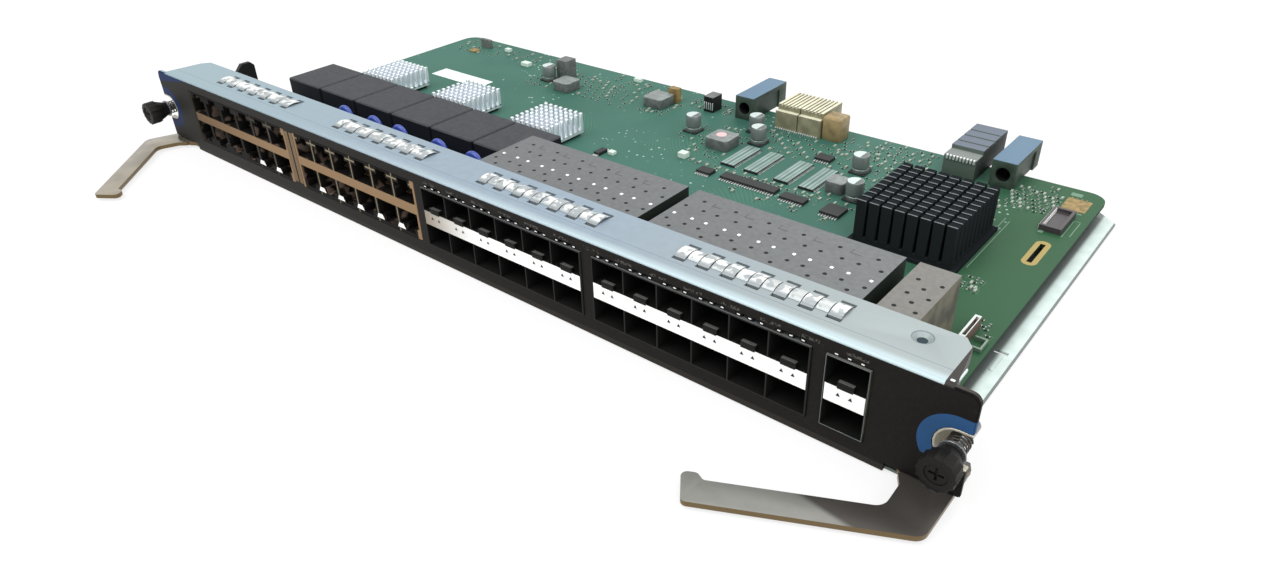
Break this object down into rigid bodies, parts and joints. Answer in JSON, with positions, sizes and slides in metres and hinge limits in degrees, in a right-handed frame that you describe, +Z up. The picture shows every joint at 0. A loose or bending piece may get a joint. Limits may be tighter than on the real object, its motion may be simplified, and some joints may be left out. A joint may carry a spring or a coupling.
{
  "type": "switch line card",
  "caption": "Plug-in network line card: steel front panel with copper jacks and optical module bays, a populated board on a tray, two ejector levers and captive screws.",
  "frame": {"origin": "centre of the flat underside of the tray", "axes": "+X to the right seen from the front, +Y from the front panel towards the backplane, +Z up"},
  "size_m": [0.4446, 0.2828, 0.0404],
  "materials": {
    "panel_steel": "light folded sheet, satin",
    "face_print": "near-black printed sheet with blue marks",
    "tray_zinc": "zinc plated, satin",
    "board_green": "solder mask, satin",
    "fastener_steel": "plain steel",
    "shield_nickel": "nickel plated sheet",
    "housing_black": "black moulding",
    "cage_steel": "plated sheet, satin",
    "spacer_steel": "bright plated sheet",
    "lens_clear": "clear moulding",
    "gasket_bright": "bright spring strip",
    "transformer_grey": "dark moulded block",
    "disc_blue": "dipped blue coat",
    "sink_bright": "bare pins",
    "sink_black": "black anodised",
    "chip_black": "moulded package",
    "guide_blue": "blue-grey moulding",
    "receptacle_cream": "cream moulding",
    "tap_orange": "orange moulding",
    "header_grey": "grey moulding",
    "can_silver": "can with a dark sleeve foot",
    "inductor_grey": "moulded grey",
    "socket_white": "pale moulding",
    "label_white": "paper",
    "lever_steel": "zinc plated, cut edges warm",
    "knob_black": "black fluted plastic",
    "bracket_dark": "dark sheet",
    "part_grey": "moulded",
    "part_gold": "plated",
    "spring_steel": "spring wire"
  },
  "bodies": {
    "card": {"backplane_receptacle_left": "receptacle_cream", "backplane_receptacle_right": "receptacle_cream", "base_tray": "tray_zinc", "board_label": "label_white", "board_standoffs": "fastener_steel", "cage_spacer_1": "spacer_steel", "cage_spacer_2": "spacer_steel", "cage_spacer_uplink": "spacer_steel", "can_capacitors": "can_silver", "corner_bracket": "bracket_dark", "disc_capacitors": "disc_blue", "edge_part": "cage_steel", "front_panel": "panel_steel", "gasket_strip_1": "gasket_bright", "gasket_strip_2": "gasket_bright", "gasket_strip_3": "gasket_bright", "gasket_strip_4": "gasket_bright", "gold_parts": "part_gold", "grey_parts": "part_grey", "guide_block_left": "guide_blue", "guide_block_right": "guide_blue", "heat_sink_1": "sink_bright", "heat_sink_2": "sink_bright", "heat_sink_3": "sink_bright", "heat_sink_large": "sink_black", "host_connectors": "housing_black", "jack_housing_1": "housing_black", "jack_housing_2": "housing_black", "jack_shield_1": "shield_nickel", "jack_shield_2": "shield_nickel", "left_lever_pin": "fastener_steel", "left_screw_cup": "spacer_steel", "left_screw_spring": "spring_steel", "light_pipes": "lens_clear", "line_transformers": "transformer_grey", "logic_chips": "chip_black", "main_board": "board_green", "memory_chips": "chip_black", "module_cage_1": "cage_steel", "module_cage_2": "cage_steel", "module_cage_uplink": "cage_steel", "pale_parts": "socket_white", "panel_overlay": "face_print", "power_inductors": "inductor_grey", "power_tap": "tap_orange", "right_lever_pin": "fastener_steel", "right_screw_cup": "spacer_steel", "right_screw_spring": "spring_steel", "signal_header": "header_grey", "sunk_chips": "chip_black", "test_header": "socket_white", "wire_clip": "fastener_steel"},
    "left_lever": {"left_lever": "lever_steel"},
    "left_screw_slide": {"left_screw_washer": "fastener_steel"},
    "left_screw": {"left_screw_knob": "knob_black", "left_captive_screw": "fastener_steel"},
    "right_lever": {"right_lever": "lever_steel"},
    "right_screw_slide": {"right_screw_washer": "fastener_steel"},
    "right_screw": {"right_screw_knob": "knob_black", "right_captive_screw": "fastener_steel"}
  },
  "joints": [
    {"name": "left_lever_pivot", "type": "hinge", "parent": "card", "child": "left_lever", "pos_m": [-0.2065, -0.0946, 0.00205], "axis": [0, 0, 1], "range_deg": [-4, 46]},
    {"name": "left_screw_press", "type": "slide", "parent": "card", "child": "left_screw_slide", "axis": [0, 1, 0], "range_m": [0, 0.0035], "stiffness_N_per_m": 300, "springref_m": -0.003, "deforming": ["left_screw_spring"]},
    {"name": "left_screw_turn", "type": "hinge", "parent": "left_screw_slide", "child": "left_screw", "pos_m": [-0.2145, -0.1016, 0.01955], "axis": [0, 1, 0], "continuous": true},
    {"name": "right_lever_pivot", "type": "hinge", "parent": "card", "child": "right_lever", "pos_m": [0.2065, -0.0946, 0.00205], "axis": [0, 0, 1], "range_deg": [-26.1, 24]},
    {"name": "right_screw_press", "type": "slide", "parent": "card", "child": "right_screw_slide", "axis": [0, 1, 0], "range_m": [0, 0.0035], "stiffness_N_per_m": 300, "springref_m": -0.003, "deforming": ["right_screw_spring"]},
    {"name": "right_screw_turn", "type": "hinge", "parent": "right_screw_slide", "child": "right_screw", "pos_m": [0.2145, -0.1016, 0.01955], "axis": [0, 1, 0], "continuous": true}
  ]
}
